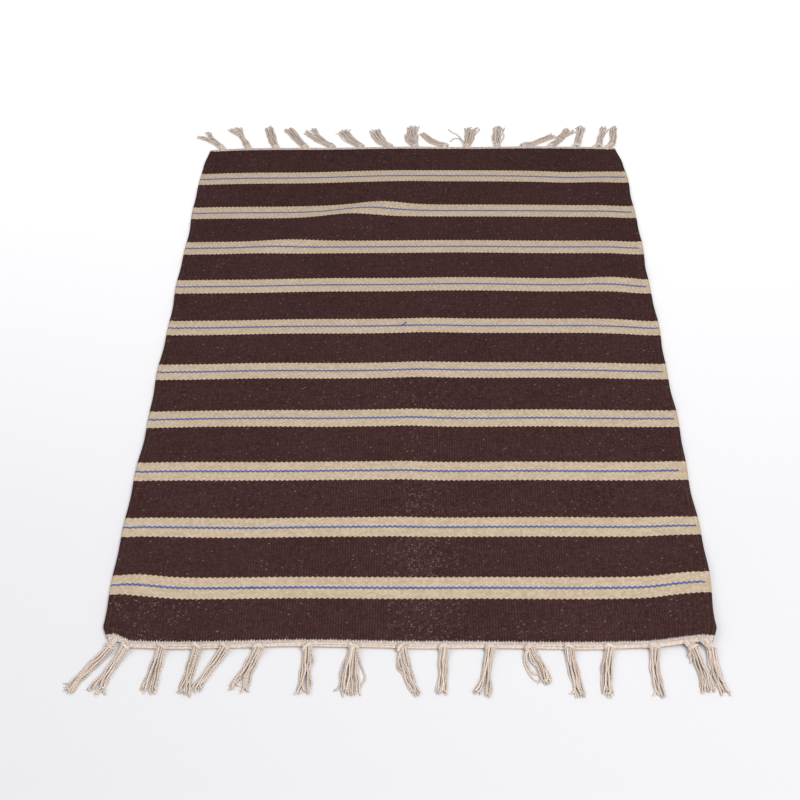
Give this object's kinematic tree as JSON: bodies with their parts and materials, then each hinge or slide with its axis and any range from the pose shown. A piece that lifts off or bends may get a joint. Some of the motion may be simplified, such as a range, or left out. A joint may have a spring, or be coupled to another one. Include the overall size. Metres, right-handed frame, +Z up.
{
  "type": "bath mat",
  "caption": "Flat-woven cotton bath mat with cream cross stripes on dark brown, bound ends and knotted tassels.",
  "frame": {"origin": "middle of the woven field's underside, on the surface the mat lies on", "axes": "+Z up, out of the upper face; +Y along the mat's length, from the near end's tassels to the far end's; +X across the stripes' length, to the right seen from the near end"},
  "size_m": [0.6252, 1.0208, 0.01],
  "materials": {
    "brown_weft": "matte",
    "cream_weft": "matte",
    "blue_weft": "matte",
    "warp_cotton": "matte",
    "binding_cotton": "matte",
    "tassel_cotton": "matte"
  },
  "bodies": {
    "woven_field": {"brown_band_01": "brown_weft", "brown_band_02": "brown_weft", "brown_band_03": "brown_weft", "brown_band_04": "brown_weft", "brown_band_05": "brown_weft", "brown_band_06": "brown_weft", "brown_band_07": "brown_weft", "brown_band_08": "brown_weft", "brown_band_09": "brown_weft", "brown_band_10": "brown_weft", "brown_band_11": "brown_weft", "cream_stripe_01": "cream_weft", "cream_stripe_02": "cream_weft", "cream_stripe_03": "cream_weft", "cream_stripe_04": "cream_weft", "cream_stripe_05": "cream_weft", "cream_stripe_06": "cream_weft", "cream_stripe_07": "cream_weft", "cream_stripe_08": "cream_weft", "cream_stripe_09": "cream_weft", "cream_stripe_10": "cream_weft", "blue_picks": "blue_weft", "warp_cords": "warp_cotton", "selvedge_cords": "warp_cotton", "near_binding": "binding_cotton", "far_binding": "binding_cotton"},
    "near_tassel_01": {"near_tassel_01": "tassel_cotton"},
    "near_tassel_02": {"near_tassel_02": "tassel_cotton"},
    "near_tassel_03": {"near_tassel_03": "tassel_cotton"},
    "near_tassel_04": {"near_tassel_04": "tassel_cotton"},
    "near_tassel_05": {"near_tassel_05": "tassel_cotton"},
    "near_tassel_06": {"near_tassel_06": "tassel_cotton"},
    "near_tassel_07": {"near_tassel_07": "tassel_cotton"},
    "near_tassel_08": {"near_tassel_08": "tassel_cotton"},
    "near_tassel_09": {"near_tassel_09": "tassel_cotton"},
    "near_tassel_10": {"near_tassel_10": "tassel_cotton"},
    "near_tassel_11": {"near_tassel_11": "tassel_cotton"},
    "near_tassel_12": {"near_tassel_12": "tassel_cotton"},
    "near_tassel_13": {"near_tassel_13": "tassel_cotton"},
    "near_tassel_14": {"near_tassel_14": "tassel_cotton"},
    "near_tassel_15": {"near_tassel_15": "tassel_cotton"},
    "near_tassel_16": {"near_tassel_16": "tassel_cotton"},
    "near_tassel_17": {"near_tassel_17": "tassel_cotton"},
    "far_tassel_01": {"far_tassel_01": "tassel_cotton"},
    "far_tassel_02": {"far_tassel_02": "tassel_cotton"},
    "far_tassel_03": {"far_tassel_03": "tassel_cotton"},
    "far_tassel_04": {"far_tassel_04": "tassel_cotton"},
    "far_tassel_05": {"far_tassel_05": "tassel_cotton"},
    "far_tassel_06": {"far_tassel_06": "tassel_cotton"},
    "far_tassel_07": {"far_tassel_07": "tassel_cotton"},
    "far_tassel_08": {"far_tassel_08": "tassel_cotton"},
    "far_tassel_09": {"far_tassel_09": "tassel_cotton"},
    "far_tassel_10": {"far_tassel_10": "tassel_cotton"},
    "far_tassel_11": {"far_tassel_11": "tassel_cotton"},
    "far_tassel_12": {"far_tassel_12": "tassel_cotton"},
    "far_tassel_13": {"far_tassel_13": "tassel_cotton"},
    "far_tassel_14": {"far_tassel_14": "tassel_cotton"},
    "far_tassel_15": {"far_tassel_15": "tassel_cotton"},
    "far_tassel_16": {"far_tassel_16": "tassel_cotton"}
  },
  "joints": [
    {"name": "near_tassel_01_lift", "type": "hinge", "parent": "woven_field", "child": "near_tassel_01", "pos_m": [-0.29, -0.4553, 0.005], "axis": [-0.848, 0.5299, 0], "range_deg": [0, 90]},
    {"name": "near_tassel_02_lift", "type": "hinge", "parent": "woven_field", "child": "near_tassel_02", "pos_m": [-0.275, -0.4553, 0.005], "axis": [-0.9205, 0.3907, 0], "range_deg": [0, 150]},
    {"name": "near_tassel_03_lift", "type": "hinge", "parent": "woven_field", "child": "near_tassel_03", "pos_m": [-0.239, -0.4553, 0.005], "axis": [-0.9925, 0.1219, 0], "range_deg": [0, 150]},
    {"name": "near_tassel_04_lift", "type": "hinge", "parent": "woven_field", "child": "near_tassel_04", "pos_m": [-0.205, -0.4553, 0.005], "axis": [-0.9903, 0.1392, 0], "range_deg": [0, 150]},
    {"name": "near_tassel_05_lift", "type": "hinge", "parent": "woven_field", "child": "near_tassel_05", "pos_m": [-0.179, -0.4553, 0.005], "axis": [-0.9272, 0.3746, 0], "range_deg": [0, 150]},
    {"name": "near_tassel_06_lift", "type": "hinge", "parent": "woven_field", "child": "near_tassel_06", "pos_m": [-0.146, -0.4553, 0.005], "axis": [-0.9511, 0.309, 0], "range_deg": [0, 150]},
    {"name": "near_tassel_07_lift", "type": "hinge", "parent": "woven_field", "child": "near_tassel_07", "pos_m": [-0.098, -0.4553, 0.005], "axis": [-0.9994, 0.0349, 0], "range_deg": [0, 150]},
    {"name": "near_tassel_08_lift", "type": "hinge", "parent": "woven_field", "child": "near_tassel_08", "pos_m": [-0.054, -0.4553, 0.005], "axis": [-0.9986, 0.0523, 0], "range_deg": [0, 150]},
    {"name": "near_tassel_09_lift", "type": "hinge", "parent": "woven_field", "child": "near_tassel_09", "pos_m": [-0.007, -0.4553, 0.005], "axis": [-0.9613, -0.2756, 0], "range_deg": [0, 150]},
    {"name": "near_tassel_10_lift", "type": "hinge", "parent": "woven_field", "child": "near_tassel_10", "pos_m": [0.033, -0.4553, 0.005], "axis": [-0.9976, 0.0698, 0], "range_deg": [0, 150]},
    {"name": "near_tassel_11_lift", "type": "hinge", "parent": "woven_field", "child": "near_tassel_11", "pos_m": [0.077, -0.4553, 0.005], "axis": [-0.9848, 0.1736, 0], "range_deg": [0, 150]},
    {"name": "near_tassel_12_lift", "type": "hinge", "parent": "woven_field", "child": "near_tassel_12", "pos_m": [0.116, -0.4553, 0.005], "axis": [-0.9455, -0.3256, 0], "range_deg": [0, 150]},
    {"name": "near_tassel_13_lift", "type": "hinge", "parent": "woven_field", "child": "near_tassel_13", "pos_m": [0.153, -0.4553, 0.005], "axis": [-0.9925, -0.1219, 0], "range_deg": [0, 150]},
    {"name": "near_tassel_14_lift", "type": "hinge", "parent": "woven_field", "child": "near_tassel_14", "pos_m": [0.191, -0.4553, 0.005], "axis": [-0.9903, 0.1392, 0], "range_deg": [0, 150]},
    {"name": "near_tassel_15_lift", "type": "hinge", "parent": "woven_field", "child": "near_tassel_15", "pos_m": [0.234, -0.4553, 0.005], "axis": [-1, 0, 0], "range_deg": [0, 150]},
    {"name": "near_tassel_16_lift", "type": "hinge", "parent": "woven_field", "child": "near_tassel_16", "pos_m": [0.271, -0.4553, 0.005], "axis": [-0.9925, -0.1219, 0], "range_deg": [0, 150]},
    {"name": "near_tassel_17_lift", "type": "hinge", "parent": "woven_field", "child": "near_tassel_17", "pos_m": [0.288, -0.4553, 0.005], "axis": [-0.9903, -0.1392, 0], "range_deg": [0, 150]},
    {"name": "far_tassel_01_lift", "type": "hinge", "parent": "woven_field", "child": "far_tassel_01", "pos_m": [-0.28, 0.4553, 0.005], "axis": [0.7547, 0.6561, 0], "range_deg": [0, 150]},
    {"name": "far_tassel_02_lift", "type": "hinge", "parent": "woven_field", "child": "far_tassel_02", "pos_m": [-0.241, 0.4553, 0.005], "axis": [0.9063, 0.4226, 0], "range_deg": [0, 150]},
    {"name": "far_tassel_03_lift", "type": "hinge", "parent": "woven_field", "child": "far_tassel_03", "pos_m": [-0.2, 0.4553, 0.005], "axis": [0.9659, 0.2588, 0], "range_deg": [0, 150]},
    {"name": "far_tassel_04_lift", "type": "hinge", "parent": "woven_field", "child": "far_tassel_04", "pos_m": [-0.158, 0.4553, 0.005], "axis": [0.8746, 0.4848, 0], "range_deg": [0, 150]},
    {"name": "far_tassel_05_lift", "type": "hinge", "parent": "woven_field", "child": "far_tassel_05", "pos_m": [-0.119, 0.4553, 0.005], "axis": [0.7986, 0.6018, 0], "range_deg": [0, 150]},
    {"name": "far_tassel_06_lift", "type": "hinge", "parent": "woven_field", "child": "far_tassel_06", "pos_m": [-0.077, 0.4553, 0.005], "axis": [0.848, 0.5299, 0], "range_deg": [0, 150]},
    {"name": "far_tassel_07_lift", "type": "hinge", "parent": "woven_field", "child": "far_tassel_07", "pos_m": [-0.035, 0.4553, 0.005], "axis": [0.9063, 0.4226, 0], "range_deg": [0, 150]},
    {"name": "far_tassel_08_lift", "type": "hinge", "parent": "woven_field", "child": "far_tassel_08", "pos_m": [0.002, 0.4553, 0.005], "axis": [0.9986, 0.0523, 0], "range_deg": [0, 150]},
    {"name": "far_tassel_09_lift", "type": "hinge", "parent": "woven_field", "child": "far_tassel_09", "pos_m": [0.045, 0.4553, 0.005], "axis": [0.788, 0.6157, 0], "range_deg": [0, 120]},
    {"name": "far_tassel_10_lift", "type": "hinge", "parent": "woven_field", "child": "far_tassel_10", "pos_m": [0.077, 0.4553, 0.005], "axis": [0.9848, -0.1736, 0], "range_deg": [0, 150]},
    {"name": "far_tassel_11_lift", "type": "hinge", "parent": "woven_field", "child": "far_tassel_11", "pos_m": [0.121, 0.4553, 0.005], "axis": [0.9945, -0.1045, 0], "range_deg": [0, 150]},
    {"name": "far_tassel_12_lift", "type": "hinge", "parent": "woven_field", "child": "far_tassel_12", "pos_m": [0.161, 0.4553, 0.005], "axis": [0.6018, -0.7986, 0], "range_deg": [0, 150]},
    {"name": "far_tassel_13_lift", "type": "hinge", "parent": "woven_field", "child": "far_tassel_13", "pos_m": [0.2, 0.4553, 0.005], "axis": [0.829, -0.5592, 0], "range_deg": [0, 150]},
    {"name": "far_tassel_14_lift", "type": "hinge", "parent": "woven_field", "child": "far_tassel_14", "pos_m": [0.236, 0.4553, 0.005], "axis": [0.9816, -0.1908, 0], "range_deg": [0, 150]},
    {"name": "far_tassel_15_lift", "type": "hinge", "parent": "woven_field", "child": "far_tassel_15", "pos_m": [0.268, 0.4553, 0.005], "axis": [0.9781, -0.2079, 0], "range_deg": [0, 150]},
    {"name": "far_tassel_16_lift", "type": "hinge", "parent": "woven_field", "child": "far_tassel_16", "pos_m": [0.286, 0.4553, 0.005], "axis": [0.9903, -0.1392, 0], "range_deg": [0, 150]}
  ]
}
